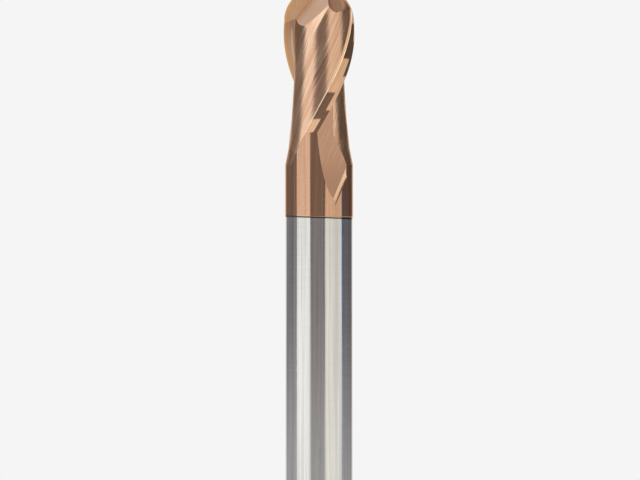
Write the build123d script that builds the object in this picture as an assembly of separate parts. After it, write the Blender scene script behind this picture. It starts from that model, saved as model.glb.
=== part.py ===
"""Two-flute ball-nose end mill in solid tungsten carbide with a hard coating on its cutting end.

Millimetres. The origin is the centre of the shank's end face and +Z points to the tip.
The front of the tool, as drawn, is the -Y side. Azimuths are measured from the front
towards +X, so an azimuth of 0 faces -Y and one of 90 faces +X.
"""
import math
import os

from build123d import *

# ---- driving dimensions --------------------------------------------------------------
overall_length = 57.0
shank_diameter = 6.0
cut_diameter = 6.3
bare_shank_length = 36.5
shank_chamfer = 0.5
head_length = 12.9
head_step_length = 0.13
helix_angle = 30.0
front_edge_depth = 12.77
coating_thickness = 0.04
coating_step = 0.02
coating_fade_length = 0.6

# ---- flute section, square to the axis, cutting edge on +X ------------------------------
rake_angle = 8.0
flute_fillet = 0.2
floor_radius = 2.48
floor_shift_back = 0.36
floor_shift_ahead = 0.03
floor_end_angle = 100.0
primary_width = 0.4
primary_angle = 8.0
secondary_width = 0.83
secondary_angle = 25.0
land_stock = 0.05

# ---- where the flutes run out into the neck, placed by their depth below the tip ---------------
web_taper_angle = 6.0
web_taper_depth = 4.0
web_cut = 0.3
ramp_start_depth = 14.4
ramp_end_depth = 15.9
wheel_radius = 50.0
wheel_rim_depth = 6.0
wheel_azimuth = 28.9
wheel_lift_angle = 4.2
wheel_setting_angle = 27.4
wheel_cut = 0.27
wheel_depth = 16.15
wheel_rake_side = 2.72
wheel_heel_side = 1.08
wheel_flare_width = 0.44
wheel_flare_rise = 0.085
flute_end_height = 16.0

# ---- ball end: gashes, relief behind its edges, the notch in each heel and the thinned web ------
gash_floor_azimuth = -44.0
gash_rise_angle = 33.0
gash_cut = 0.05
gash_wall_azimuth = 8.0
gash_wall_offset = 0.1
ball_relief_shift = 0.45
notch_radius = 1.6
notch_azimuth = 15.0
notch_drop_angle = 52.0
notch_sideways = 1.85
notch_frontwards = 1.9
notch_bottom_depth = 2.27
thin_azimuth = -25.0
thin_start_depth = 5.5
thin_web_reach = 2.425
thin_radius = 10.0

# ---- places worked out from the dimensions ---------------------------------------------------
cut_radius = cut_diameter / 2
shank_radius = shank_diameter / 2
neck_radius = shank_radius + coating_step
lead = math.pi * cut_diameter / math.tan(math.radians(helix_angle))
head_start = overall_length - head_length
neck_end = head_start - head_step_length
fade_end = bare_shank_length + coating_fade_length
ball_centre = overall_length - cut_radius
ramp_start = overall_length - ramp_start_depth
ramp_end = overall_length - ramp_end_depth
wheel_height = overall_length - wheel_depth
edge_front = overall_length - front_edge_depth
clear = cut_radius / 6
outside = cut_radius + clear
beyond = overall_length + clear
reach = outside * 5


def compass(azimuth, rise=0.0):
    """Unit vector for an azimuth from the front and a rise above the horizontal."""
    a = math.radians(azimuth)
    e = math.radians(rise)
    return Vector(math.sin(a) * math.cos(e), -math.cos(a) * math.cos(e), math.sin(e))


def polar(radius, angle):
    """Point of the flute section at a radius and an angle ahead of the cutting edge."""
    a = math.radians(angle)
    return (radius * math.cos(a), radius * math.sin(a))


def facet(start, width, clearance):
    """End of a relief facet of the land that starts at a point and falls away behind the edge."""
    a = math.radians(clearance)
    return (start[0] - width * math.sin(a), start[1] - width * math.cos(a))


def edge_angle(height):
    """Angle of the first cutting edge round the axis from +X at a height."""
    return math.degrees(2 * math.pi * (height - edge_front) / lead - math.pi / 2)


def twisted(sketch, bottom, top):
    """Sweep a section of the tool along its own helix between two heights."""
    placed = Pos(0, 0, bottom) * Rot(0, 0, edge_angle(bottom)) * sketch
    turn = edge_angle(top) - edge_angle(bottom)
    return Solid.extrude_linear_with_rotation(
        placed.face(), Vector(0, 0, bottom), Vector(0, 0, top - bottom), turn
    )


def flute_section(skin):
    """Open space of one flute, from the rake face round to the heel of the next tooth."""
    edge = (cut_radius, 0.0)
    rake = math.radians(rake_angle)
    along_rake = Vector(math.cos(rake), math.sin(rake))
    off_rake = Vector(-math.sin(rake), math.cos(rake))
    floor_centre = Vector(-floor_shift_back, floor_shift_ahead)
    fillet_off = flute_fillet - cut_radius * math.sin(rake)
    offset_gap = fillet_off - floor_centre.dot(off_rake)
    fillet_reach = math.sqrt((floor_radius + flute_fillet) ** 2 - offset_gap**2)
    centre = along_rake * (floor_centre.dot(along_rake) + fillet_reach) + off_rake * fillet_off
    rake_foot = centre - off_rake * flute_fillet
    to_fillet = centre - floor_centre
    foot_angle = math.degrees(math.atan2(to_fillet.Y, to_fillet.X))
    floor_foot = floor_centre + to_fillet.normalized() * floor_radius
    middle = centre + (rake_foot + floor_foot - centre * 2).normalized() * flute_fillet
    floor_middle = floor_centre + Vector(*polar(floor_radius, (foot_angle + floor_end_angle) / 2))
    floor_end = floor_centre + Vector(*polar(floor_radius, floor_end_angle))
    floor_direction = Vector(*polar(1.0, floor_end_angle + 90.0))
    primary_end = facet(edge, primary_width, primary_angle)
    secondary_end = facet(primary_end, secondary_width, secondary_angle)
    heel = (-secondary_end[0], -secondary_end[1])
    heel_angle = math.degrees(math.atan2(heel[1], heel[0]))
    with BuildSketch() as section:
        with BuildLine():
            Polyline(polar(outside, 0.0), edge, (rake_foot.X, rake_foot.Y))
            ThreePointArc(rake_foot, middle, floor_foot)
            ThreePointArc(floor_foot, floor_middle, floor_end)
            TangentArc(floor_end, heel, tangent=floor_direction)
            Line(heel, polar(outside, heel_angle))
            ThreePointArc(
                polar(outside, heel_angle), polar(outside, heel_angle / 2), polar(outside, 0.0)
            )
        make_face()
    if skin > 0:
        return offset(section.sketch, skin)
    return section.sketch


def relief_section(skin):
    """Space cleared behind the cutting edge by the primary and secondary relief."""
    edge = (cut_radius, 0.0)
    ahead = facet(edge, -clear, primary_angle)
    primary_end = facet(edge, primary_width, primary_angle)
    behind = facet(primary_end, secondary_width + clear, secondary_angle)
    first = math.degrees(math.atan2(ahead[1], ahead[0]))
    last = math.degrees(math.atan2(behind[1], behind[0]))
    with BuildSketch() as section:
        with BuildLine():
            Polyline(polar(outside, first), ahead, primary_end, behind, polar(outside, last))
            ThreePointArc(
                polar(outside, last), polar(outside, (first + last) / 2), polar(outside, first)
            )
        make_face()
    if skin > 0:
        return offset(section.sketch, skin)
    return section.sketch


def blank(skin):
    """Round blank of the cutting end: neck, head and ball nose, all above the bare shank."""
    neck = neck_radius - skin
    nose = cut_radius - skin
    head = nose + land_stock
    with BuildSketch(Plane.XZ) as outline:
        with BuildLine():
            Polyline(
                (0, overall_length - skin),
                (0, bare_shank_length),
                (shank_radius, bare_shank_length),
                (neck, fade_end),
                (neck, neck_end),
                (head, head_start),
                (head, ball_centre),
                (nose, ball_centre),
            )
            RadiusArc((nose, ball_centre), (0, overall_length - skin), -nose)
        make_face()
    return revolve(outline.sketch, Axis.Z)


def web_runout(skin):
    """Round web that thickens towards the neck and closes the flutes off."""
    top = overall_length - web_taper_depth
    ramp_radius = neck_radius - web_cut - skin
    start = ramp_radius - math.tan(math.radians(web_taper_angle)) * (top - ramp_start)
    ramp_slope = (neck_radius - skin - ramp_radius) / (ramp_start - ramp_end)
    bottom = ramp_start - (outside - ramp_radius) / ramp_slope
    with BuildSketch(Plane.XZ) as outline:
        with BuildLine():
            Polyline(
                (0, top),
                (start, top),
                (ramp_radius, ramp_start),
                (outside, bottom),
                (outside, bottom - reach),
                (0, bottom - reach),
                close=True,
            )
        make_face()
    return revolve(outline.sketch, Axis.Z)


def wheel_plane():
    """Plane on the wheel's centre, square to its spindle, at the end of the wheel's pass."""
    normal = compass(wheel_azimuth, wheel_lift_angle)
    upright = (Vector(0, 0, 1) - normal * normal.Z).normalized()
    sideways = upright.cross(normal)
    setting = math.radians(wheel_setting_angle)
    travel = upright * math.cos(setting) + sideways * math.sin(setting)
    spindle = travel.cross(normal)
    contact = compass(wheel_azimuth) * (neck_radius - wheel_cut) + Vector(0, 0, wheel_height)
    return Plane(origin=contact + normal * wheel_radius, x_dir=normal, z_dir=spindle)


def wheel(skin):
    """Grinding wheel, flat on its rim, with a flare on the side away from the rake face."""
    rim = wheel_radius + skin
    rake_side = -wheel_rake_side - skin
    flare_end = (rim + wheel_flare_rise, wheel_heel_side + wheel_flare_width + skin)
    hub = rim - wheel_rim_depth
    with BuildSketch(Plane.XZ) as outline:
        with BuildLine():
            Polyline((hub, flare_end[1]), (hub, rake_side), (rim, rake_side), (rim, wheel_heel_side))
            TangentArc((rim, wheel_heel_side), flare_end, tangent=(0, 1))
            Line(flare_end, (hub, flare_end[1]))
        make_face()
    return wheel_plane().location * revolve(outline.sketch, Axis.Z)


def flute_end(skin):
    """Metal left under the wheel's rim, between the rake side and the wheel's own azimuth."""
    swept = wheel_plane().location * Cylinder(wheel_radius + skin, reach)
    side = compass(wheel_azimuth - 90)
    corner = Plane(origin=(0, 0, wheel_height), x_dir=side, z_dir=(0, 0, 1))
    size = (outside, outside * 2, flute_end_height)
    block = Box(*size, align=(Align.MIN, Align.CENTER, Align.CENTER))
    return corner.location * block - swept


def half_space(normal, offset):
    """Large block on the outer side of a plane at a distance from the ball's tip."""
    foot = Vector(0, 0, overall_length) + normal * offset
    block = Box(reach, reach, reach, align=(Align.CENTER, Align.CENTER, Align.MIN))
    return Plane(origin=foot, z_dir=normal).location * block


def gash(skin):
    """Wedge ground into the ball in front of one edge, down to a sloping floor."""
    floor_normal = compass(gash_floor_azimuth, gash_rise_angle)
    floor = half_space(floor_normal, -gash_cut - skin)
    wall = half_space(compass(gash_wall_azimuth), gash_wall_offset - skin)
    return floor & wall


def ball_relief(skin):
    """Space between the ball and a larger sphere shifted forward, behind one edge."""
    behind = compass(gash_wall_azimuth + 180)
    radius = math.hypot(cut_radius, ball_relief_shift) - skin
    centre = Vector(0, 0, ball_centre) - behind * ball_relief_shift
    side = half_space(behind, -gash_wall_offset)
    nose = half_space(Vector(0, 0, 1), -cut_radius)
    return (side & nose) - Pos(*centre) * Sphere(radius)


def heel_notch(skin):
    """Round-bottomed groove that takes the heel off the tooth on the ball."""
    drop = math.radians(notch_drop_angle)
    bottom = overall_length - notch_bottom_depth
    height = bottom + notch_radius / math.cos(drop)
    place = Plane(
        origin=(notch_sideways, -notch_frontwards, height),
        z_dir=compass(notch_azimuth, -notch_drop_angle),
    )
    return place.location * Cylinder(notch_radius + skin, reach)


def thinned_web(skin):
    """Space beyond a large drum that lets the flute's floor fall away towards the ball."""
    outward = compass(thin_azimuth)
    start = Vector(0, 0, overall_length - thin_start_depth)
    middle = start + outward * (thin_web_reach - thin_radius)
    drum_plane = Plane(origin=middle, x_dir=outward, z_dir=compass(thin_azimuth + 90))
    drum = drum_plane.location * Cylinder(thin_radius - skin, reach * 2)
    block = Box(reach, reach, reach, align=(Align.MIN, Align.CENTER, Align.MIN))
    return Plane(origin=start, x_dir=outward, z_dir=(0, 0, 1)).location * block - drum


def cutting_form(skin):
    """Fluted neck and ball-nosed head, with every surface set in by a skin."""
    void = twisted(flute_section(skin), ramp_end - clear, beyond)
    void = void - web_runout(skin) - flute_end(skin)
    relief = twisted(relief_section(skin), neck_end - skin, beyond)
    ball_cuts = (thinned_web(skin), ball_relief(skin), gash(skin), heel_notch(skin))
    cuts = (void, wheel(skin), relief) + ball_cuts
    form = blank(skin)
    for cut in cuts:
        form = form - cut - Rot(0, 0, 180) * cut
    return form


# ---- the two pieces --------------------------------------------------------------------------
substrate_end = cutting_form(coating_thickness)
shank = Cylinder(shank_radius, bare_shank_length, align=(Align.CENTER, Align.CENTER, Align.MIN))
shank = chamfer(shank.edges().group_by(Axis.Z)[0], shank_chamfer)
carbide_body = shank + substrate_end

coating = cutting_form(0.0) - substrate_end

os.makedirs("parts", exist_ok=True)
for name, shape in (("carbide_body", carbide_body), ("coating", coating)):
    print(name, shape.is_valid, len(shape.solids()), round(shape.volume, 2))
    export_step(shape, f"parts/{name}.step")
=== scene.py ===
import bpy
from math import radians, sin, cos, tan, atan2, sqrt, hypot, pi
from mathutils import Vector, Matrix


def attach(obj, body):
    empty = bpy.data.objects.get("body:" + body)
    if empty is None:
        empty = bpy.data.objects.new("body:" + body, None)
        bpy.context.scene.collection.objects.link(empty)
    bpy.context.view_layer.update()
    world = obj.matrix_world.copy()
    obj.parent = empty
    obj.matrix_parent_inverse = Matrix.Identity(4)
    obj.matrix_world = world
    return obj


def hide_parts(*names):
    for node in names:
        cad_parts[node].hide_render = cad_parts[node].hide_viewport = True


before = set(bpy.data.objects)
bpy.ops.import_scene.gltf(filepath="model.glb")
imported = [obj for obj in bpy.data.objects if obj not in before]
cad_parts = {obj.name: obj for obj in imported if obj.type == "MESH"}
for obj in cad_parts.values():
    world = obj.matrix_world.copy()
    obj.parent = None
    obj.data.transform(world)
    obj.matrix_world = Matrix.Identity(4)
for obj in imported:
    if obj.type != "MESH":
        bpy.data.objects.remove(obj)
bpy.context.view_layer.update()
mm = 0.001
print("frame:", len(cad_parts), "CAD nodes")


# one socket of a node tree, so that sums are written as plain expressions
class Value:
    def __init__(self, net, socket):
        self.net = net
        self.socket = socket

    def part(self, name):
        return Value(self.net, self.socket.node.outputs[name])

    def __add__(self, other):
        return self.net.sum("ADD", self, other)

    def __radd__(self, other):
        return self.net.sum("ADD", other, self)

    def __sub__(self, other):
        return self.net.sum("SUBTRACT", self, other)

    def __rsub__(self, other):
        return self.net.sum("SUBTRACT", other, self)

    def __mul__(self, other):
        return self.net.sum("MULTIPLY", self, other)

    def __rmul__(self, other):
        return self.net.sum("MULTIPLY", other, self)

    def __truediv__(self, other):
        return self.net.sum("DIVIDE", self, other)

    def __rtruediv__(self, other):
        return self.net.sum("DIVIDE", other, self)


# a node tree: add() makes any node, settings first, then the values or links of its sockets
class Net:
    def __init__(self, tree):
        self.tree = tree

    def add(self, kind, settings=None, sockets=None, out=0):
        node = self.tree.nodes.new(kind)
        for key, value in (settings or {}).items():
            if key == "stops":
                self.setStops(node.color_ramp, value)
            else:
                setattr(node, key, value)
        for key, value in (sockets or {}).items():
            self.feed(node.inputs[key], value)
        return Value(self, node.outputs[out]) if len(node.outputs) else node

    def feed(self, socket, value):
        if isinstance(value, list):
            for one in value:
                self.tree.links.new(one.socket, socket)
        elif isinstance(value, Value):
            self.tree.links.new(value.socket, socket)
        else:
            socket.default_value = value

    def setStops(self, ramp, stops):
        while len(ramp.elements) < len(stops):
            ramp.elements.new(0.5)
        for element, (place, colour) in zip(ramp.elements, stops):
            element.position = place
            element.color = colour

    def sum(self, operation, *terms):
        return self.add("ShaderNodeMath", {"operation": operation}, dict(enumerate(terms)))

    def step(self, value, low, high, lowTo=0.0, highTo=1.0, shape="SMOOTHSTEP"):
        sockets = {"Value": value, "From Min": low, "From Max": high, "To Min": lowTo, "To Max": highTo}
        return self.add("ShaderNodeMapRange", {"interpolation_type": shape}, sockets)

    def vector(self, x, y, z):
        return self.add("ShaderNodeCombineXYZ", None, {0: x, 1: y, 2: z})

    def split(self, vector):
        parts = self.add("ShaderNodeSeparateXYZ", None, {0: vector})
        return parts, parts.part("Y"), parts.part("Z")


# the tool's own sizes, in millimetres; the cutting end stands on +Z
tool = {
    "length": 57.0,
    "shankRadius": 3.0,
    "shankChamfer": 0.5,
    "neckRadius": 3.02,
    "cutRadius": 3.15,
    "bareLength": 36.5,
    "fadeStep": 0.04,
    "fadeLength": 0.6,
    "fadeRest": 0.001,
    "headStart": 44.1,
    "headStep": 0.13,
    "landStock": 0.05,
    "ballCentre": 53.85,
    "lead": 34.28,
    "edgeFront": 44.23,
}

# one tooth gap, square to the axis, seen with its cutting edge on +X
gap = {
    "rake": 8.0,
    "fillet": 0.2,
    "floorRadius": 2.48,
    "floorBack": 0.36,
    "floorAhead": 0.03,
    "floorEnd": 100.0,
    "primary": (0.40, 8.0),
    "secondary": (0.83, 25.0),
    "footShade": (2, 4, 10, 22),  # floor points from the fillet: starts, is full, fades, ends
    "heelStep": 0.15,
    "heelRound": 0.09,
    "hone": 0.012,
}

# steps and facets of the round shapes, and the angles past which an edge is sharp
fineness = {
    "round": 288,
    "ball": 64,
    "shank": 12,
    "hone": 3,
    "rake": 4,
    "fillet": 10,
    "floor": 44,
    "floorBack": 22,
    "crest": 4,
    "relief": (8, 7),
    "outside": 24,
    "rows": 160,
    "wheel": 900,
    "flare": 4,
    "nose": (256, 160),
    "notch": 160,
    "drum": 400,
    "coatedSharp": 7.0,
    "shankSharp": 20.0,
}

# sizes of the cutters where they stand clear of the tool
clear = tool["cutRadius"] / 6
outside = tool["cutRadius"] + clear
beyond = tool["length"] + clear
reach = outside * 5


def polar(radius, angle):
    return Vector((radius * cos(angle), radius * sin(angle)))


def arcPoints(centre, radius, first, last, count):
    spread = [first + (last - first) * i / count for i in range(count + 1)]
    return [centre + polar(radius, angle) for angle in spread]


def straight(start, end, count):
    return [start.lerp(end, i / count) for i in range(count + 1)]


# rounds the corner between two runs of points with a curve that starts and ends a span away
def roundedJoin(before, corner, after, span, count):
    start = corner + (before - corner).normalized() * span
    end = corner + (after - corner).normalized() * span
    steps = [i / count for i in range(count + 1)]
    return [start * (1 - t) ** 2 + corner * (2 * t * (1 - t)) + end * t * t for t in steps]


# arc that leaves a point in a given direction and ends at another point
def leavingArc(start, direction, end, count):
    chord = end - start
    turn = -2 * direction.angle_signed(chord)
    radius = chord.length / (2 * sin(abs(turn) / 2))
    side = 1 if turn > 0 else -1
    centre = start + Vector((-direction.y, direction.x)) * radius * side
    first = atan2(start.y - centre.y, start.x - centre.x)
    return arcPoints(centre, radius, first, first + turn, count)


# space of one flute, square to the axis: its corner points and what each run of them is
def fluteRuns():
    edge = Vector((tool["cutRadius"], 0.0))
    rake = radians(gap["rake"])
    along = Vector((cos(rake), sin(rake)))
    off = Vector((-sin(rake), cos(rake)))
    floorCentre = Vector((-gap["floorBack"], gap["floorAhead"]))
    fillet = gap["fillet"]
    height = fillet - tool["cutRadius"] * sin(rake)
    sideGap = height - floorCentre.dot(off)
    across = sqrt((gap["floorRadius"] + fillet) ** 2 - sideGap ** 2)
    filletCentre = along * (floorCentre.dot(along) + across) + off * height
    rakeFoot = filletCentre - off * fillet
    toFillet = filletCentre - floorCentre
    footAngle = atan2(toFillet.y, toFillet.x)
    lastAngle = radians(gap["floorEnd"])
    floorEnd = floorCentre + polar(gap["floorRadius"], lastAngle)
    primaryEnd, heel = landCorners()
    heelFoot = heel * (1 - gap["heelStep"] / heel.length)
    crest = roundedJoin(heelFoot, heel, primaryEnd, gap["heelRound"], fineness["crest"])
    hone = roundedJoin(primaryEnd, -edge, -rakeFoot, gap["hone"], fineness["hone"])
    hone = [-point for point in hone]
    filletEnds = (rake - pi / 2, footAngle - pi)
    floorWay = polar(1.0, lastAngle + pi / 2)
    return [
        ("hone", hone),
        ("rake", straight(hone[-1], rakeFoot, fineness["rake"])),
        ("fillet", arcPoints(filletCentre, fillet, *filletEnds, fineness["fillet"])),
        ("floor", arcPoints(floorCentre, gap["floorRadius"], footAngle, lastAngle, fineness["floor"])),
        ("floor", leavingArc(floorEnd, floorWay, heelFoot, fineness["floorBack"])),
        ("heel", [heelFoot] + crest + [crest[-1]]),
    ]


# where the primary and the secondary relief end, behind the cutting edge on -X
def landCorners():
    primaryWidth, primaryAngle = gap["primary"]
    secondaryWidth, secondaryAngle = gap["secondary"]
    primaryWay = Vector((sin(radians(primaryAngle)), cos(radians(primaryAngle))))
    secondaryWay = Vector((sin(radians(secondaryAngle)), cos(radians(secondaryAngle))))
    primaryEnd = Vector((-tool["cutRadius"], 0.0)) + primaryWay * primaryWidth
    return primaryEnd, primaryEnd + secondaryWay * secondaryWidth


def turnOf(point):
    return atan2(point.y, point.x) % (2 * pi)


# closed wire of a cutter's section: the points of its cut, closed by an arc outside the tool
def sectionWire(name, points):
    first, last = turnOf(points[0]), turnOf(points[-1])
    if first > last:
        first -= 2 * pi
    ring = points[::-1] + arcPoints(Vector((0.0, 0.0)), outside, first, last, fineness["outside"])
    count = len(ring)
    mesh = bpy.data.meshes.new(name)
    mesh.from_pydata([(p.x, p.y, 0.0) for p in ring], [(i, (i + 1) % count) for i in range(count)], [])
    return mesh


# marks on the section's points tell the rake face, the fillet and the heel's rim, which gets a painted
# highlight, from the floor, and one more mark is high where a painted shade darkens the floor's foot,
# beside the fillet
def fluteWire():
    points = []
    kinds = []
    for kind, run in fluteRuns():
        points += run[:-1]
        kinds += [kind] * (len(run) - 1)
    mesh = sectionWire("fluteSection", points)
    firstFloor = len(kinds) - 1 - kinds.index("floor")
    kinds.reverse()
    for name, wanted in (("rakeMark", "rake"), ("filletMark", "fillet"), ("rimMark", "heel")):
        mark = mesh.attributes.new(name, "FLOAT", "POINT")
        for i, kind in enumerate(kinds):
            mark.data[i].value = 1.0 if kind == wanted else 0.0
    shade = mesh.attributes.new("footMark", "FLOAT", "POINT")
    start, full, fade, end = gap["footShade"]
    for i in range(firstFloor + 1):
        away = firstFloor - i
        rise, fall = (away - start) / (full - start), (end - away) / (end - fade)
        shade.data[i].value = max(0.0, min(1.0, rise, fall))
    return mesh


def reliefWire():
    primaryEnd, heel = landCorners()
    edge = Vector((-tool["cutRadius"], 0.0))
    ahead = edge + (edge - primaryEnd).normalized() * clear
    behind = heel + (heel - primaryEnd).normalized() * clear
    behindSteps, aheadSteps = fineness["relief"]
    points = straight(behind, primaryEnd, behindSteps)[:-1] + straight(primaryEnd, ahead, aheadSteps)
    return sectionWire("reliefSection", points)


def newObject(name, mesh):
    made = bpy.data.objects.new(name, mesh)
    bpy.context.scene.collection.objects.link(made)
    return made


# solid of revolution about Z from an outline of (radius, height) that starts and ends on the axis
def turnedMesh(name, outline, facets):
    corners = []
    faces = []
    rings = []
    for radius, height in outline:
        if radius == 0:
            corners.append((0.0, 0.0, height))
            rings.append([len(corners) - 1] * facets)
        else:
            first = len(corners)
            for i in range(facets):
                angle = 2 * pi * i / facets
                corners.append((radius * cos(angle), radius * sin(angle), height))
            rings.append(list(range(first, first + facets)))
    for low, high in zip(rings, rings[1:]):
        for i in range(facets):
            j = (i + 1) % facets
            face = list(dict.fromkeys((low[i], low[j], high[j], high[i])))
            if len(face) > 2:
                faces.append(face)
    mesh = bpy.data.meshes.new(name)
    mesh.from_pydata(corners, [], faces)
    return mesh


# where the flutes run out into the neck, and the grinding wheel that ends them
runOut = {
    "webTaper": 6.0,
    "webTop": 53.0,
    "webCut": 0.3,
    "rampStart": 42.6,
    "rampEnd": 41.1,
    "wheelRadius": 50.0,
    "wheelAzimuth": 28.9,
    "wheelLift": 4.2,
    "wheelSetting": 27.4,
    "wheelCut": 0.27,
    "wheelHeight": 40.85,
    "wheelRakeSide": 2.72,
    "wheelHeelSide": 1.08,
    "wheelFlare": (0.44, 0.085),
    "endBlockHeight": 16.0,
}

# the ball end: a gash and a relief for each edge, a notch in each heel, and the thinned web
ballEnd = {
    "gashFloorAzimuth": -44.0,
    "gashRise": 33.0,
    "gashCut": 0.05,
    "gashWallAzimuth": 8.0,
    "gashWallOffset": 0.1,
    "reliefShift": 0.45,
    "notchRadius": 1.6,
    "notchAzimuth": 15.0,
    "notchDrop": 52.0,
    "notchPlace": (1.85, -1.9),
    "notchBottom": 0.88,
    "thinAzimuth": -25.0,
    "thinStart": 51.5,
    "thinRadius": 10.0,
    "thinDepth": 2.425,
}

# what each cut leaves on its faces; a face keeps its finish's place in this list as a number
finishes = [
    "roundFinish", "fluteFinish", "filletFinish", "rakeFinish", "landFinish", "wheelFinish",
    "bevelFinish", "thinFinish", "gashFinish", "notchFinish", "ballFinish",
]

# cuts that run into each other without an edge
tangentFinishes = [
    ("filletFinish", "rakeFinish"),
    ("fluteFinish", "filletFinish"),
    ("wheelFinish", "bevelFinish"),
]


# direction for an azimuth from the front, towards +X, and a rise above the horizontal
def compass(azimuth, rise=0.0):
    a, e = radians(azimuth), radians(rise)
    return Vector((sin(a) * cos(e), -cos(a) * cos(e), sin(e)))


def frameOf(origin, xAxis, zAxis):
    yAxis = zAxis.cross(xAxis)
    turn = Matrix((xAxis, yAxis, zAxis)).transposed()
    return Matrix.Translation(origin) @ turn.to_4x4()


# frame whose Z is a direction; its X is any direction square to it
def facing(origin, direction):
    xAxis = direction.orthogonal().normalized()
    return frameOf(origin, xAxis, direction.normalized())


def wheelFrame():
    normal = compass(runOut["wheelAzimuth"], runOut["wheelLift"])
    upright = (Vector((0, 0, 1)) - normal * normal.z).normalized()
    sideways = upright.cross(normal)
    setting = radians(runOut["wheelSetting"])
    travel = upright * cos(setting) + sideways * sin(setting)
    spindle = travel.cross(normal)
    floor = tool["neckRadius"] - runOut["wheelCut"]
    contact = compass(runOut["wheelAzimuth"]) * floor + Vector((0, 0, runOut["wheelHeight"]))
    return frameOf(contact + normal * runOut["wheelRadius"], normal, spindle)


# the notch's axis: towards the front and down
def notchWay():
    return compass(ballEnd["notchAzimuth"], -ballEnd["notchDrop"])


def wheelMesh():
    rim = runOut["wheelRadius"]
    rakeSide = -runOut["wheelRakeSide"]
    heelSide = runOut["wheelHeelSide"]
    width, rise = runOut["wheelFlare"]
    steps = fineness["flare"]
    outline = [(0, rakeSide), (rim, rakeSide)]
    firstFlare = len(outline)
    outline += [(rim + rise * (i / steps) ** 2, heelSide + width * i / steps) for i in range(steps + 1)]
    outline.append((0, heelSide + width))
    facets = fineness["wheel"]
    mesh = turnedMesh("wheel", outline, facets)
    mesh.transform(wheelFrame())
    flare = mesh.attributes.new("bevelMark", "FLOAT", "FACE")
    for i in range(facets * firstFlare, facets * (firstFlare + steps)):
        flare.data[i].value = 1.0
    return mesh


def webMesh():
    ramp = tool["neckRadius"] - runOut["webCut"]
    top = runOut["webTop"]
    start = ramp - tan(radians(runOut["webTaper"])) * (top - runOut["rampStart"])
    slope = runOut["webCut"] / (runOut["rampStart"] - runOut["rampEnd"])
    bottom = runOut["rampStart"] - (outside - ramp) / slope
    outline = [(0, bottom - reach), (outside, bottom - reach), (outside, bottom)]
    outline += [(ramp, runOut["rampStart"]), (start, top), (0, top)]
    return turnedMesh("webCore", outline, fineness["round"])


# the turned blank; at its foot the coating starts with a small step, then grows over the fade
def blankMesh():
    neck = tool["neckRadius"]
    nose = tool["cutRadius"]
    stock = nose + tool["landStock"]
    start = tool["bareLength"]
    head = tool["headStart"]
    outline = [(0, start), (tool["shankRadius"], start)]
    outline.append((neck - tool["fadeRest"], start + tool["fadeStep"]))
    outline += [(neck, start + tool["fadeLength"]), (neck, head - tool["headStep"])]
    outline += [(stock, head), (stock, tool["ballCentre"])]
    steps = fineness["ball"]
    for i in range(steps):
        angle = pi / 2 * i / steps
        outline.append((nose * cos(angle), tool["ballCentre"] + nose * sin(angle)))
    outline.append((0, tool["length"]))
    return turnedMesh("blank", outline, fineness["round"])


# tree with named inputs; kinds are Float, Int, Object or Material
def newTree(name, inputs):
    tree = bpy.data.node_groups.new(name, "GeometryNodeTree")
    tree.interface.new_socket("Geometry", in_out="INPUT", socket_type="NodeSocketGeometry")
    for label, kind in inputs.items():
        tree.interface.new_socket(label, in_out="INPUT", socket_type="NodeSocket" + kind)
    tree.interface.new_socket("Geometry", in_out="OUTPUT", socket_type="NodeSocketGeometry")
    net = Net(tree)
    given = net.add("NodeGroupInput")
    return net, given


# runs a tree on an object and gives its result as a plain mesh
def treeMesh(carrier, net, values, name):
    modifier = carrier.modifiers.new("shape", "NODES")
    modifier.node_group = net.tree
    for item in net.tree.interface.items_tree:
        if item.in_out == "INPUT" and item.name in values:
            modifier[item.identifier] = values[item.name]
    graph = bpy.context.evaluated_depsgraph_get()
    graph.update()
    mesh = bpy.data.meshes.new_from_object(carrier.evaluated_get(graph), depsgraph=graph)
    carrier.modifiers.remove(modifier)
    mesh.name = name
    return mesh


# removes an object that only carried a shape
def dropObject(thing):
    mesh = thing.data
    bpy.data.objects.remove(thing)
    if mesh.users == 0:
        bpy.data.meshes.remove(mesh)


def moved(net, geometry, matrix, scale=(1, 1, 1)):
    shift, turn = matrix.to_translation(), matrix.to_euler()
    place = {0: geometry, "Translation": shift, "Rotation": turn, "Scale": scale}
    return net.add("GeometryNodeTransform", None, place)


def cut(net, operation, first, others):
    settings = {"operation": operation, "solver": "MANIFOLD"}
    if operation == "DIFFERENCE":
        return net.add("GeometryNodeMeshBoolean", settings, {"Mesh 1": first, "Mesh 2": others})
    return net.add("GeometryNodeMeshBoolean", settings, {"Mesh 2": [first] + others})


# block that fills the outer side of a plane at an offset from the ball's tip
def halfSpace(net, direction, offset):
    foot = Vector((0, 0, tool["length"])) + direction * (offset + reach / 2)
    block = net.add("GeometryNodeMeshCube", None, {"Size": (reach, reach, reach)})
    return moved(net, block, facing(foot, direction))


# numbers the faces that a surface finish belongs to
def numbered(net, geometry, finish, chosen=None):
    sockets = {"Geometry": geometry, "Name": "finish", "Value": finishes.index(finish)}
    if chosen is not None:
        sockets["Selection"] = chosen
    return net.add("GeometryNodeStoreNamedAttribute", {"data_type": "INT", "domain": "FACE"}, sockets)


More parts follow.
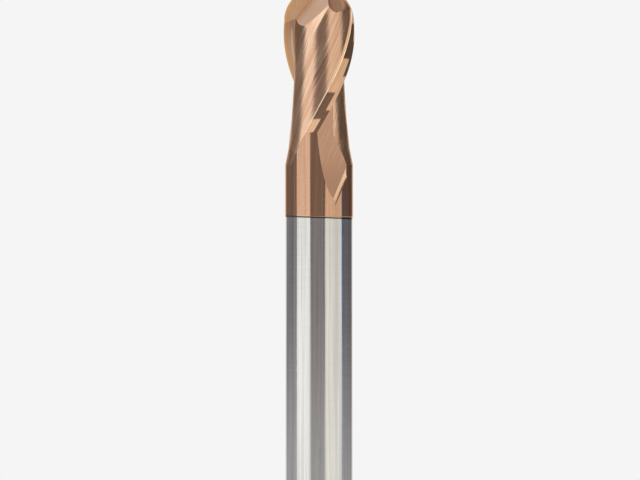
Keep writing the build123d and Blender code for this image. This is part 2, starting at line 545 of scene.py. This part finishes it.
def cuttingTree():
    inputs = {name: "Float" for name in ("Lead", "Edge Front", "Bottom", "Neck End", "Top")}
    inputs["Rows"] = "Int"
    inputs.update({name: "Object" for name in ("Relief", "Blank", "Web", "Wheel")})
    inputs.update({finish: "Material" for finish in finishes})
    net, given = newTree("cuttingEnd", inputs)

    def shape(name):
        return net.add("GeometryNodeObjectInfo", None, {"Object": given.part(name)}).part("Geometry")

    # faces whose points are all marked
    def marked(name):
        mark = net.add("GeometryNodeInputNamedAttribute", {"data_type": "FLOAT"}, {"Name": name})
        nearlyOne = 0.999
        return net.add("FunctionNodeCompare", {"operation": "GREATER_THAN"}, {0: mark, 1: nearlyOne})

    # a section is swept straight up, then every point is turned by its height
    def helix(section, bottom):
        line = {"Start": net.vector(0.0, 0.0, bottom), "End": net.vector(0.0, 0.0, given.part("Top"))}
        line = net.add("GeometryNodeCurvePrimitiveLine", None, line)
        line = net.add("GeometryNodeResampleCurve", None, {"Curve": line, "Count": given.part("Rows")})
        profile = net.add("GeometryNodeMeshToCurve", None, {"Mesh": section})
        sweep = {"Curve": line, "Profile Curve": profile, "Fill Caps": True}
        prism = net.add("GeometryNodeCurveToMesh", None, sweep)
        position = net.add("GeometryNodeInputPosition")
        height = net.split(position)[2]
        turn = (height - given.part("Edge Front")) * (2 * pi) / given.part("Lead") - pi / 2
        spun = {"Vector": position, "Axis": (0, 0, 1), "Angle": turn}
        twist = net.add("ShaderNodeVectorRotate", {"rotation_type": "AXIS_ANGLE"}, spun)
        return net.add("GeometryNodeSetPosition", None, {"Geometry": prism, "Position": twist})

    flute = numbered(net, helix(given.part("Geometry"), given.part("Bottom")), "fluteFinish")
    flute = numbered(net, flute, "rakeFinish", marked("rakeMark"))
    flute = numbered(net, flute, "filletFinish", marked("filletMark"))
    relief = numbered(net, helix(shape("Relief"), given.part("Neck End")), "landFinish")

    # metal that the web and the wheel's rim leave at the end of the flute
    disc = {"Vertices": fineness["wheel"], "Radius": runOut["wheelRadius"], "Depth": reach}
    disc = moved(net, net.add("GeometryNodeMeshCylinder", None, disc), wheelFrame())
    side = compass(runOut["wheelAzimuth"] - 90)
    corner = Vector((0, 0, runOut["wheelHeight"])) + side * outside / 2
    size = (outside, outside * 2, runOut["endBlockHeight"])
    block = net.add("GeometryNodeMeshCube", None, {"Size": size})
    block = moved(net, block, frameOf(corner, side, Vector((0, 0, 1))))
    block = numbered(net, cut(net, "DIFFERENCE", block, [disc]), "wheelFinish")
    web = numbered(net, shape("Web"), "fluteFinish")
    flute = cut(net, "DIFFERENCE", flute, [web, block])
    blank = numbered(net, shape("Blank"), "roundFinish")

    # cuts of the wheel and of the ball end
    wheel = numbered(net, shape("Wheel"), "wheelFinish")
    wheel = numbered(net, wheel, "bevelFinish", marked("bevelMark"))
    gashFloor = compass(ballEnd["gashFloorAzimuth"], ballEnd["gashRise"])
    gashWall = compass(ballEnd["gashWallAzimuth"])
    wall = numbered(net, halfSpace(net, gashWall, ballEnd["gashWallOffset"]), "rakeFinish")
    floor = numbered(net, halfSpace(net, gashFloor, -ballEnd["gashCut"]), "gashFinish")
    wedge = cut(net, "INTERSECT", floor, [wall])
    behind = compass(ballEnd["gashWallAzimuth"] + 180)
    ballCentre = Vector((0, 0, tool["ballCentre"]))
    segments, rings = fineness["nose"]
    radius = hypot(tool["cutRadius"], ballEnd["reliefShift"])
    shell = {"Segments": segments, "Rings": rings, "Radius": radius}
    ball = net.add("GeometryNodeMeshUVSphere", None, shell)
    ball = moved(net, ball, Matrix.Translation(ballCentre - behind * ballEnd["reliefShift"]))
    behindWall = halfSpace(net, behind, -ballEnd["gashWallOffset"])
    beyondBall = halfSpace(net, Vector((0, 0, 1)), -tool["cutRadius"])
    nose = cut(net, "DIFFERENCE", cut(net, "INTERSECT", behindWall, [beyondBall]), [ball])
    nose = numbered(net, nose, "ballFinish")
    x, y = ballEnd["notchPlace"]
    drop = radians(ballEnd["notchDrop"])
    lift = ballEnd["notchRadius"] / cos(drop)
    foot = Vector((x, y, tool["ballCentre"] + ballEnd["notchBottom"] + lift))
    groove = {"Vertices": fineness["notch"], "Radius": ballEnd["notchRadius"], "Depth": reach}
    notch = moved(net, net.add("GeometryNodeMeshCylinder", None, groove), facing(foot, notchWay()))
    notch = numbered(net, notch, "notchFinish")

    # the flute's floor falls away towards the ball in a long curve
    outward = compass(ballEnd["thinAzimuth"])
    drumAxis = compass(ballEnd["thinAzimuth"] + 90)
    start = Vector((0, 0, ballEnd["thinStart"]))
    middle = outward * (ballEnd["thinDepth"] - ballEnd["thinRadius"]) + start
    drum = {"Vertices": fineness["drum"], "Radius": ballEnd["thinRadius"], "Depth": reach * 2}
    drum = net.add("GeometryNodeMeshCylinder", None, drum)
    drum = moved(net, drum, frameOf(middle, outward, drumAxis))
    above = Vector((0, 0, ballEnd["thinStart"] + reach / 2)) + outward * reach / 2
    thin = net.add("GeometryNodeMeshCube", None, {"Size": (reach, reach, reach)})
    thin = moved(net, thin, frameOf(above, outward, Vector((0, 0, 1))))
    thin = numbered(net, cut(net, "DIFFERENCE", thin, [drum]), "thinFinish")

    # every cut is made twice, the second time half a turn on
    metal = blank
    opposite = Matrix.Rotation(pi, 4, "Z")
    for cutter in (flute, wheel, relief, thin, nose, wedge, notch):
        metal = cut(net, "DIFFERENCE", metal, [cutter, moved(net, cutter, opposite)])
    metal = moved(net, metal, Matrix(), (mm, mm, mm))
    metal = net.add("GeometryNodeRealizeInstances", None, {0: metal})
    number = net.add("GeometryNodeInputNamedAttribute", {"data_type": "INT"}, {"Name": "finish"})
    equal = {"data_type": "INT", "operation": "EQUAL"}
    for place, finish in enumerate(finishes):
        same = net.add("FunctionNodeCompare", equal, {2: number, 3: place})
        sockets = {"Geometry": metal, "Selection": same, "Material": given.part(finish)}
        metal = net.add("GeometryNodeSetMaterial", None, sockets)
    net.add("NodeGroupOutput", None, {0: metal})
    return net


halfway = 0.5  # the middle of a noise, which goes from 0 to 1

# reflecting colours of the metals and of the tinted line, and the painted highlights on the heel and the
# cutting edge, and painted shades on the leaf's foot and the gash; the fillet's deep tone is also the
# flute floor's painted foot shade
look = {
    "bare": (0.645, 0.645, 0.635),
    "coat": (0.605, 0.365, 0.245),
    "edge": (0.85, 0.65, 0.50),
    "bareEdge": (1.0, 1.0, 1.0),
    "flute": (0.79, 0.545, 0.395),
    "fluteDeep": (0.56, 0.325, 0.205),
    "fillet": (0.46, 0.34, 0.26),
    "filletDeep": (0.34, 0.24, 0.18),
    "gash": (0.76, 0.54, 0.41),
    "gashDeep": (0.66, 0.44, 0.32),
    "gashShade": (0.65, 0.51, 0.41),
    "land": (0.70, 0.445, 0.29),
    "landDeep": (0.60, 0.355, 0.225),
    "leaf": (0.53, 0.325, 0.22),
    "leafDeep": (0.43, 0.25, 0.165),
    "leafFoot": (0.4128, 0.24, 0.1584),
    "bevel": (0.78, 0.52, 0.35),
    "heelHighlight": (1.0, 0.80, 0.58),
    "rake": (0.72, 0.44, 0.262),
    "rakeDeep": (0.6192, 0.3784, 0.22532),
    "rakeEdgeHighlight": (0.85, 0.46, 0.16),
    "notch": (0.42, 0.235, 0.15),
    "notchDeep": (0.315, 0.17625, 0.1125),
    "lineGold": (0.64, 0.40, 0.16),
    "lineBlue": (0.10, 0.10, 0.135),
}

# ground round surfaces; a noise is given as its cells per millimetre along x, y and z, its detail
# and its roughness, a range is where along a mixed noise one tone turns into the next
roundLook = {
    "rings": ((0.35, 0.35, 14.0), 4.0),
    "streaks": ((4.5, 4.5, 0.06), 4.0, 0.65),
    "grain": ((6.0, 6.0, 8.0), 3.0),
    "wander": ((1.5, 1.5, 0.2), 2.0),
    "lineHeight": 36.505,
    "lineSlant": -0.037,
    "lineWidth": 0.11,
    "lineWander": 0.03,
    "lineBlur": 0.012,
    "blueBlur": 0.03,
    "goldReach": (1.3, 0.3),
    "bareMix": (0.9, 0.1),
    "bareRange": (0.35, 0.65),
    "bareShades": (0.84, 1.04),
    "coatMix": (0.75, 0.25),
    "coatRange": (0.38, 0.62),
    "coatShades": (0.84, 1.08),
    "rough": (0.25, 0.75, 0.082, 0.098),
    "dullFoot": (34.0, 14.0),
    "dullness": 0.05,
    "dents": (0.07, 0.02),
    "depth": 0.0016,
}

# lines that follow the helix: two colours, roughness from and to, lines per millimetre, their depth
helixLook = {
    "fluteFinish": ("flute", "fluteDeep", (0.16, 0.25), 4.4, 0.05),
    "thinFinish": ("flute", "fluteDeep", (0.24, 0.34), 4.4, 0.036),
    "filletFinish": ("fillet", "filletDeep", (0.34, 0.44), 6.0, 0.01),
    "rakeFinish": ("rake", "rakeDeep", (0.40, 0.5), 5.0, 0.010),
    "landFinish": ("land", "landDeep", (0.06, 0.10), 8.0, 0.0012),
    "ballFinish": ("coat", "fluteDeep", (0.14, 0.22), 6.0, 0.004),
}

# straight lines that a wheel leaves, given in the same way
wheelLook = {
    "wheelFinish": ("leaf", "leafDeep", (0.3, 0.4), 9.0, 0.012),
    "bevelFinish": ("bevel", "flute", (0.22, 0.32), 7.0, 0.004),
    "gashFinish": ("gash", "gashDeep", (0.28, 0.4), 8.0, 0.01),
    "notchFinish": ("notch", "notchDeep", (0.35, 0.5), 8.0, 0.01),
}

# what all the lines share: broad streaks, fine lines and grain, how many cells per millimetre the
# first two have along the lines, how the three are mixed, and where the painted highlights on rims and
# the painted shades on ends lie
lineLook = {
    "broadShare": 0.3,
    "broadDetail": 3.0,
    "fineDetail": (4.0, 0.6),
    "grainCells": 9.0,
    "grainDetail": 2.0,
    "helixAlong": (0.06, 0.15),
    "wheelAlong": (0.15, 0.4),
    "helixMix": (0.48, 0.48, 0.04),
    "helixRange": (0.35, 0.65),
    "wheelMix": (0.35, 0.5, 0.15),
    "wheelRange": (0.38, 0.62),
    "roughRange": (0.3, 0.7),
    "heelHighlightRange": (0.05, 0.7),
    "edgeHighlightRange": (2.86, 3.12),
    "leafShadeFade": (42.4, 39.6),
    "gashShadeSlant": 0.325,
    "gashShadeAbove": 0.8,
    "gashShadeFade": 0.9,
}


class Look(Net):
    def mix(self, factor, first, second):
        settings = {"data_type": "RGBA"}
        return self.add("ShaderNodeMix", settings, {0: factor, 6: first, 7: second}, 2)

    def colour(self, rgb):
        return (rgb[0], rgb[1], rgb[2], 1.0)

    # a colour's darker and lighter shade, mixed by a factor
    def shades(self, factor, rgb, spread):
        low, high = [self.colour([c * share for c in rgb]) for share in spread]
        return self.mix(factor, low, high)

    def noise(self, x, y, z, detail=3.0, rough=0.55):
        sockets = {"Vector": self.vector(x, y, z), "Scale": 1.0, "Detail": detail, "Roughness": rough}
        return self.add("ShaderNodeTexNoise", None, sockets)

    # noise with its own number of cells per millimetre along each of three ways
    def cells(self, place, numbers, *character):
        x, y, z = [way * number for way, number in zip(place, numbers)]
        return self.noise(x, y, z, *character)

    def mark(self, name):
        return self.add("ShaderNodeAttribute", {"attribute_name": name}, None, "Fac")


# starts a metal's material, with the tint that it takes at a glancing angle; gives its node net,
# the place on the tool in millimetres and the shader's sockets
def newMetal(name, edge):
    material = bpy.data.materials.new(name)
    material.use_nodes = True
    material.node_tree.nodes.clear()
    net = Look(material.node_tree)
    place = net.add("ShaderNodeTexCoord", None, None, "Object")
    scaled = net.add("ShaderNodeVectorMath", {"operation": "SCALE"}, {0: place, "Scale": 1 / mm})
    sockets = {"Metallic": 1.0, "Specular Tint": net.colour(edge)}
    shader = net.add("ShaderNodeBsdfPrincipled", None, sockets)
    net.add("ShaderNodeOutputMaterial", None, {"Surface": shader})
    return material, net, net.split(scaled), shader.socket.node.inputs


# the place seen from a tooth that turns with the helix
def alongHelix(net, place):
    x, y, z = place
    angle = z * (2 * pi / tool["lead"])
    cosine = net.sum("COSINE", angle)
    sine = net.sum("SINE", angle)
    return x * cosine + y * sine, y * cosine - x * sine, z


# bump whose depth is in millimetres
def dented(net, height, depth, shader):
    bump = net.add("ShaderNodeBump", None, {"Height": height, "Distance": depth * mm})
    net.feed(shader["Normal"], bump)


# bare carbide, a heat-tinted line, then the coating; the shank and the coated end each have their own
def roundFinish(name, edge):
    material, net, place, shader = newMetal(name, edge)
    x, y, z = place
    rings = net.cells(place, *roundLook["rings"])
    streaks = net.cells(place, *roundLook["streaks"])
    grain = net.cells(place, *roundLook["grain"])
    wander = net.cells(place, *roundLook["wander"])
    line = x * roundLook["lineSlant"] + roundLook["lineHeight"]
    aboveLine = z - line + (wander - halfway) * roundLook["lineWander"]
    width, blur = roundLook["lineWidth"], roundLook["lineBlur"]
    goldTop, goldFoot = [width * share for share in roundLook["goldReach"]]
    coated = net.step(aboveLine, -blur, blur)
    blueBand = net.step(aboveLine, -width - roundLook["blueBlur"], -width)
    goldBand = net.step(aboveLine, goldTop, goldFoot)
    first, second = roundLook["bareMix"]
    worn = net.step(streaks * first + rings * second, *roundLook["bareRange"])
    bare = net.shades(worn, look["bare"], roundLook["bareShades"])
    bare = net.mix(blueBand, bare, net.colour(look["lineBlue"]))
    first, second = roundLook["coatMix"]
    speckle = net.step(streaks * first + grain * second, *roundLook["coatRange"])
    coat = net.shades(speckle, look["coat"], roundLook["coatShades"])
    coat = net.mix(goldBand, coat, net.colour(look["lineGold"]))
    net.feed(shader["Base Color"], net.mix(coated, bare, coat))
    dull = net.step(z, *roundLook["dullFoot"]) * roundLook["dullness"]
    net.feed(shader["Roughness"], net.step(rings, *roundLook["rough"]) + dull)
    ringDents, grainDents = roundLook["dents"]
    dented(net, rings * ringDents + streaks + grain * grainDents, roundLook["depth"], shader)
    return material


# broad streaks, fine lines and grain in one height, and the two colours that it mixes
def groundTone(net, noises, shares, limits, tones):
    broad, fine, grain = [noise * share for noise, share in zip(noises, shares)]
    streaks = broad + fine + grain
    colour, deep = [net.colour(look[tone]) for tone in tones]
    return streaks, net.mix(net.step(streaks, *limits), deep, colour)


# grinding lines that follow the helix, with a painted highlight on the heel's rim and on the rake face's
# edge, and a painted shade on the flute floor's foot
def helixFinish(name):
    colour, deep, rough, lines, depth = helixLook[name]
    material, net, place, shader = newMetal(name, look["edge"])
    tooth = alongHelix(net, place)
    across, radial, z = tooth
    wide = lines * lineLook["broadShare"]
    broadAlong, fineAlong = lineLook["helixAlong"]
    noises = [
        net.cells(tooth, (wide, wide, broadAlong), lineLook["broadDetail"]),
        net.cells(tooth, (lines, lines, fineAlong), *lineLook["fineDetail"]),
        net.cells(tooth, [lineLook["grainCells"]] * 3, lineLook["grainDetail"]),
    ]
    streaks, tone = groundTone(net, noises, lineLook["helixMix"], lineLook["helixRange"], (colour, deep))
    height = streaks
    if name == "fluteFinish":
        # the heel's rim: a painted highlight in a light tone, with flatter bumps
        rim = net.mark("rimMark")
        height = streaks + (halfway - streaks) * rim
        # painted shade: the floor's foot beside the fillet darkens towards the fillet's deep tone
        tone = net.mix(net.mark("footMark"), tone, net.colour(look["filletDeep"]))
        tone = net.mix(net.step(rim, *lineLook["heelHighlightRange"]), tone, net.colour(look["heelHighlight"]))
    elif name == "rakeFinish":
        # painted highlight on the rake face near the cutting edge, towards the outer radius
        up = net.sum("MAXIMUM", z - tool["ballCentre"], 0.0)
        out = net.sum("SQRT", across * across + radial * radial + up * up)
        tone = net.mix(net.step(out, *lineLook["edgeHighlightRange"]), tone, net.colour(look["rakeEdgeHighlight"]))
    net.feed(shader["Base Color"], tone)
    net.feed(shader["Roughness"], net.step(streaks, *lineLook["roughRange"], *rough))
    dented(net, height, depth, shader)
    return material


# straight grinding lines of a wheel that passed along a direction; the last argument gives a painted
# shade:
# its axis, the places along it where the lines' colours start and end to fade into it, and its colour
def wheelFinish(name, direction, across, paintedShade=None):
    colour, deep, rough, lines, depth = wheelLook[name]
    material, net, place, shader = newMetal(name, look["edge"])
    x, y, z = place

    def along(axis, scale):
        return x * (axis.x * scale) + y * (axis.y * scale) + z * (axis.z * scale)

    def stretched(side, alongLines, *character):
        ways = (along(across, side), along(third, side), along(direction, alongLines))
        return net.noise(*ways, *character)

    third = direction.cross(across)
    broadAlong, fineAlong = lineLook["wheelAlong"]
    noises = [
        stretched(lines * lineLook["broadShare"], broadAlong, lineLook["broadDetail"]),
        stretched(lines, fineAlong, *lineLook["fineDetail"]),
        net.cells(place, [lineLook["grainCells"]] * 3, lineLook["grainDetail"]),
    ]
    streaks, tone = groundTone(net, noises, lineLook["wheelMix"], lineLook["wheelRange"], (colour, deep))
    if paintedShade:
        # painted shade that fades in along the axis
        axis, start, end, shadeTone = paintedShade
        tone = net.mix(net.step(along(axis, 1.0), start, end), tone, net.colour(look[shadeTone]))
    net.feed(shader["Base Color"], tone)
    net.feed(shader["Roughness"], net.step(streaks, *lineLook["roughRange"], *rough))
    dented(net, streaks, depth, shader)
    return material


def makeMaterials():
    turn = wheelFrame().to_3x3()
    travel, spindle = turn.col[1].normalized(), turn.col[2].normalized()
    gashFloor = compass(ballEnd["gashFloorAzimuth"], ballEnd["gashRise"])
    gashLine = gashFloor.cross(compass(ballEnd["gashWallAzimuth"])).normalized()
    gashAcross = gashLine.cross(gashFloor)
    notchLine = notchWay()
    notchAcross = notchLine.orthogonal().normalized()
    # painted shade, darker towards the leaf's foot
    leafFoot = (Vector((0, 0, 1)), *lineLook["leafShadeFade"], "leafFoot")
    # painted shade on one side of the gash floor
    shadeWay = gashAcross + gashLine * lineLook["gashShadeSlant"]
    shadeStart = shadeWay.z * tool["length"] + lineLook["gashShadeAbove"]
    paintedGashShade = (shadeWay, shadeStart, shadeStart - lineLook["gashShadeFade"], "gashShade")
    made = [roundFinish("roundFinish", look["edge"]), roundFinish("shankFinish", look["bareEdge"])]
    made += [helixFinish(name) for name in helixLook]
    made += [
        wheelFinish("wheelFinish", travel, spindle, leafFoot),
        wheelFinish("bevelFinish", travel, spindle),
        wheelFinish("gashFinish", gashLine, gashAcross, paintedGashShade),
        wheelFinish("notchFinish", notchLine, notchAcross),
    ]
    return {material.name: material for material in made}


# Cutting end and shank as plain meshes in the shared frame

materials = makeMaterials()
print("materials:", len(materials))


# smooth faces, with sharp edges by angle and wherever two cuts meet that don't blend
def smoothed(mesh, angle):
    for face in mesh.polygons:
        face.use_smooth = True
    mesh.set_sharp_from_angle(angle=radians(angle))
    if "finish" not in mesh.attributes:
        return
    number = [item.value for item in mesh.attributes["finish"].data]
    blended = [{finishes.index(a), finishes.index(b)} for a, b in tangentFinishes]
    sides = {}
    for face in mesh.polygons:
        for key in face.edge_keys:
            sides.setdefault(key, set()).add(number[face.index])
    sharp = mesh.attributes["sharp_edge"].data
    for edge in mesh.edges:
        pair = sides[edge.key]
        if len(pair) > 1 and pair not in blended:
            sharp[edge.index].value = True


def cuttingEnd():
    section = newObject("fluteSection", fluteWire())
    meshes = {"Relief": reliefWire(), "Blank": blankMesh(), "Web": webMesh(), "Wheel": wheelMesh()}
    helpers = {name: newObject(mesh.name, mesh) for name, mesh in meshes.items()}
    net = cuttingTree()
    values = {"Lead": tool["lead"], "Edge Front": tool["edgeFront"], "Rows": fineness["rows"]}
    neckEnd = tool["headStart"] - tool["headStep"]
    values.update({"Bottom": runOut["rampEnd"] - clear, "Neck End": neckEnd, "Top": beyond})
    values.update(helpers)
    values.update(materials)
    mesh = treeMesh(section, net, values, "coatedEnd")
    mesh.materials.pop(index=0)
    for helper in [section, *helpers.values()]:
        dropObject(helper)
    smoothed(mesh, fineness["coatedSharp"])
    return newObject("coatedEnd", mesh)


def bareShank():
    radius = tool["shankRadius"]
    chamfer = tool["shankChamfer"]
    straightLength = tool["bareLength"] - chamfer
    steps = fineness["shank"]
    outline = [(0, 0), (radius - chamfer, 0), (radius, chamfer)]
    outline += [(radius, chamfer + straightLength * i / steps) for i in range(1, steps + 1)]
    outline.append((0, tool["bareLength"]))
    mesh = turnedMesh("bareShank", [(r * mm, z * mm) for r, z in outline], fineness["round"])
    mesh.materials.append(materials["shankFinish"])
    smoothed(mesh, fineness["shankSharp"])
    return newObject("bareShank", mesh)


cutting = cuttingEnd()
print("coated end:", len(cutting.data.polygons), "faces")
shank = bareShank()
print("bare shank:", len(shank.data.polygons), "faces")

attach(cutting, "root")
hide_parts("coating")
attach(shank, "root")
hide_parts("carbide_body")


# Studio, in metres: a pale floor, two soft panels and a pale room

white = 0.913  # grey level of the room's white parts and of the floor's outer part

panels = {
    "distance": 0.3,
    "height": 0.6,
    "centre": 0.045,
    "left": {"azimuth": -56.0, "width": 0.29, "watts": 0.49, "tint": (1.0, 0.99, 0.96)},
    "right": {"azimuth": 52.0, "width": 0.37, "watts": 0.56, "tint": (1.0, 0.95, 0.84)},
}


def softPanel(name, values):
    side = compass(values["azimuth"])
    light = bpy.data.lights.new(name, "AREA")
    light.shape = "RECTANGLE"
    light.size = values["width"]
    light.size_y = panels["height"]
    light.energy = values["watts"]
    light.color = values["tint"]
    made = newObject(name, light)
    made.location = side * panels["distance"] + Vector((0, 0, panels["centre"]))
    made.rotation_euler = (-side).to_track_quat("-Z", "Y").to_euler()
    made.visible_camera = False


# what the metal reflects: dark walls that change with the azimuth, thin stripes level with the
# horizon, a white ground below it, a pale ceiling and a white wall behind the tool;
# azimuths are in degrees from the front, heights are the sine of the rise
walls = {
    "dark": (0.245, 0.235, 0.232),
    "darkFront": (0.262, 0.241, 0.240),
    "frontFrom": (-70.0, -40.0),
    "darkRight": (0.142, 0.135, 0.140),
    "rightFrom": (25.0, 60.0),
    "ripple": (0.16, 4.0, 0.7),
    "rippleShade": (0.3, 0.7, 0.8, 1.2),
    "stripes": [
        (-106.0, 4.0, (0.10, 0.15, 0.30)),
        (-92.0, 6.0, (0.33, 0.29, 0.25)),
        (-10.5, 2.5, (0.36, 0.23, 0.15)),
        (90.0, 9.0, (0.05, 0.12, 0.28)),
        (105.0, 6.0, (0.20, 0.13, 0.10)),
    ],
    "stripeCore": 0.5,
    "stripeTop": (0.012, 0.005),
    "stripeFoot": (-0.05, -0.025),
    "groundFrom": (-0.012, -0.030),
    "groundShare": (40.0, 80.0, 0.3, 0.9),
    "ceiling": (0.80, 0.79, 0.77),
    "ceilingFrom": (0.30, 0.60),
    "whiteBehind": (148.0, 152.0),
    "fill": 0.75,
}


def paleRoom():
    world = bpy.data.worlds.new("paleRoom")
    bpy.context.scene.world = world
    world.use_nodes = True
    world.node_tree.nodes.clear()
    net = Look(world.node_tree)
    paper = net.colour([white] * 3)
    x, y, z = net.split(net.add("ShaderNodeTexCoord", None, None, "Generated"))
    azimuth = net.sum("ARCTAN2", x, y * -1.0) * (180 / pi)
    aside = net.sum("ABSOLUTE", azimuth)
    dark, front, right = [net.colour(walls[name]) for name in ("dark", "darkFront", "darkRight")]
    room = net.mix(net.step(azimuth, *walls["frontFrom"]), dark, front)
    room = net.mix(net.step(azimuth, *walls["rightFrom"]), room, right)
    cells, detail, rough = walls["ripple"]
    ripple = net.noise(azimuth * cells, 0.0, 0.0, detail, rough)
    shade = net.step(ripple, *walls["rippleShade"], "LINEAR")
    room = net.add("ShaderNodeVectorMath", {"operation": "SCALE"}, {0: room, "Scale": shade})
    level = net.step(z, *walls["stripeTop"]) * net.step(z, *walls["stripeFoot"])
    for middle, half, tone in walls["stripes"]:
        away = net.sum("ABSOLUTE", azimuth - middle)
        stripe = net.step(away, half, half * walls["stripeCore"]) * level
        room = net.mix(stripe, room, net.colour(tone))
    ground = net.step(z, *walls["groundFrom"]) * net.step(aside, *walls["groundShare"])
    room = net.mix(ground, room, paper)
    room = net.mix(net.step(z, *walls["ceilingFrom"]), room, net.colour(walls["ceiling"]))
    room = net.mix(net.step(aside, *walls["whiteBehind"]), room, paper)
    rays = net.add("ShaderNodeLightPath", None, None, "Is Camera Ray")
    glossy, through = rays.part("Is Glossy Ray"), rays.part("Is Transmission Ray")
    other = net.mix(glossy, net.colour([walls["fill"]] * 3), room)
    shown = net.mix(net.sum("MAXIMUM", rays, through), other, paper)
    back = net.add("ShaderNodeBackground", None, {"Color": shown, "Strength": 1.0})
    net.add("ShaderNodeOutputWorld", None, {"Surface": back})


# matte paper that fades into the white of the room
sheet = {
    "radius": 0.5,
    "rings": 8,
    "facets": 96,
    "grain": 900.0,
    "greys": (0.80, 0.84),
    "fade": (0.35, 0.95),
}


def paleFloor():
    facets = sheet["facets"]
    radius = sheet["radius"]
    rings = [radius * i / sheet["rings"] for i in range(1, sheet["rings"] + 1)]
    corners = [(0.0, 0.0, 0.0)]
    faces = []
    for ring in rings:
        for i in range(facets):
            angle = 2 * pi * i / facets
            corners.append((ring * cos(angle), ring * sin(angle), 0.0))
    for i in range(facets):
        j = (i + 1) % facets
        faces.append((0, 1 + i, 1 + j))
        for k in range(len(rings) - 1):
            low, high = 1 + k * facets, 1 + (k + 1) * facets
            faces.append((low + i, high + i, high + j, low + j))
    mesh = bpy.data.meshes.new("floor")
    mesh.from_pydata(corners, [], faces)
    material = bpy.data.materials.new("palePaper")
    material.use_nodes = True
    material.node_tree.nodes.clear()
    net = Look(material.node_tree)
    x, y = net.split(net.add("ShaderNodeTexCoord", None, None, "Object"))[:2]
    away = net.sum("SQRT", x * x + y * y)
    grain = net.noise(x * sheet["grain"], y * sheet["grain"], 0.0)
    darker, lighter = [net.colour([grey] * 3) for grey in sheet["greys"]]
    matte = net.add("ShaderNodeBsdfDiffuse", None, {"Color": net.mix(grain, darker, lighter)})
    glow = net.add("ShaderNodeEmission", None, {"Color": net.colour([white] * 3), "Strength": 1.0})
    start, end = sheet["fade"]
    fade = net.step(away, radius * start, radius * end)
    mixed = net.add("ShaderNodeMixShader", None, {0: fade, 1: matte, 2: glow})
    net.add("ShaderNodeOutputMaterial", None, {"Surface": mixed})
    mesh.materials.append(material)
    newObject("floor", mesh)


softPanel("leftPanel", panels["left"])
softPanel("rightPanel", panels["right"])
paleRoom()
paleFloor()
print("studio ready")

# a long lens from the front: how far off it stands, how much it sees across and how high it aims
view = {
    "distance": 1.2,
    "width": 0.05699,
    "sensor": 36.0,
    "aim": 0.03444,
    "shift": 0.0014,
    "farthest": 10.0,
}


def frontCamera():
    camera = bpy.data.cameras.new("front")
    camera.sensor_width = view["sensor"]
    camera.lens = view["sensor"] * view["distance"] / view["width"]
    camera.shift_x = view["shift"]
    camera.clip_end = view["farthest"]
    made = newObject("front", camera)
    made.location = (0, -view["distance"], view["aim"])
    made.rotation_euler = (radians(90), 0, 0)
    bpy.context.scene.camera = made


frontCamera()
bpy.context.scene.view_settings.view_transform = "Standard"
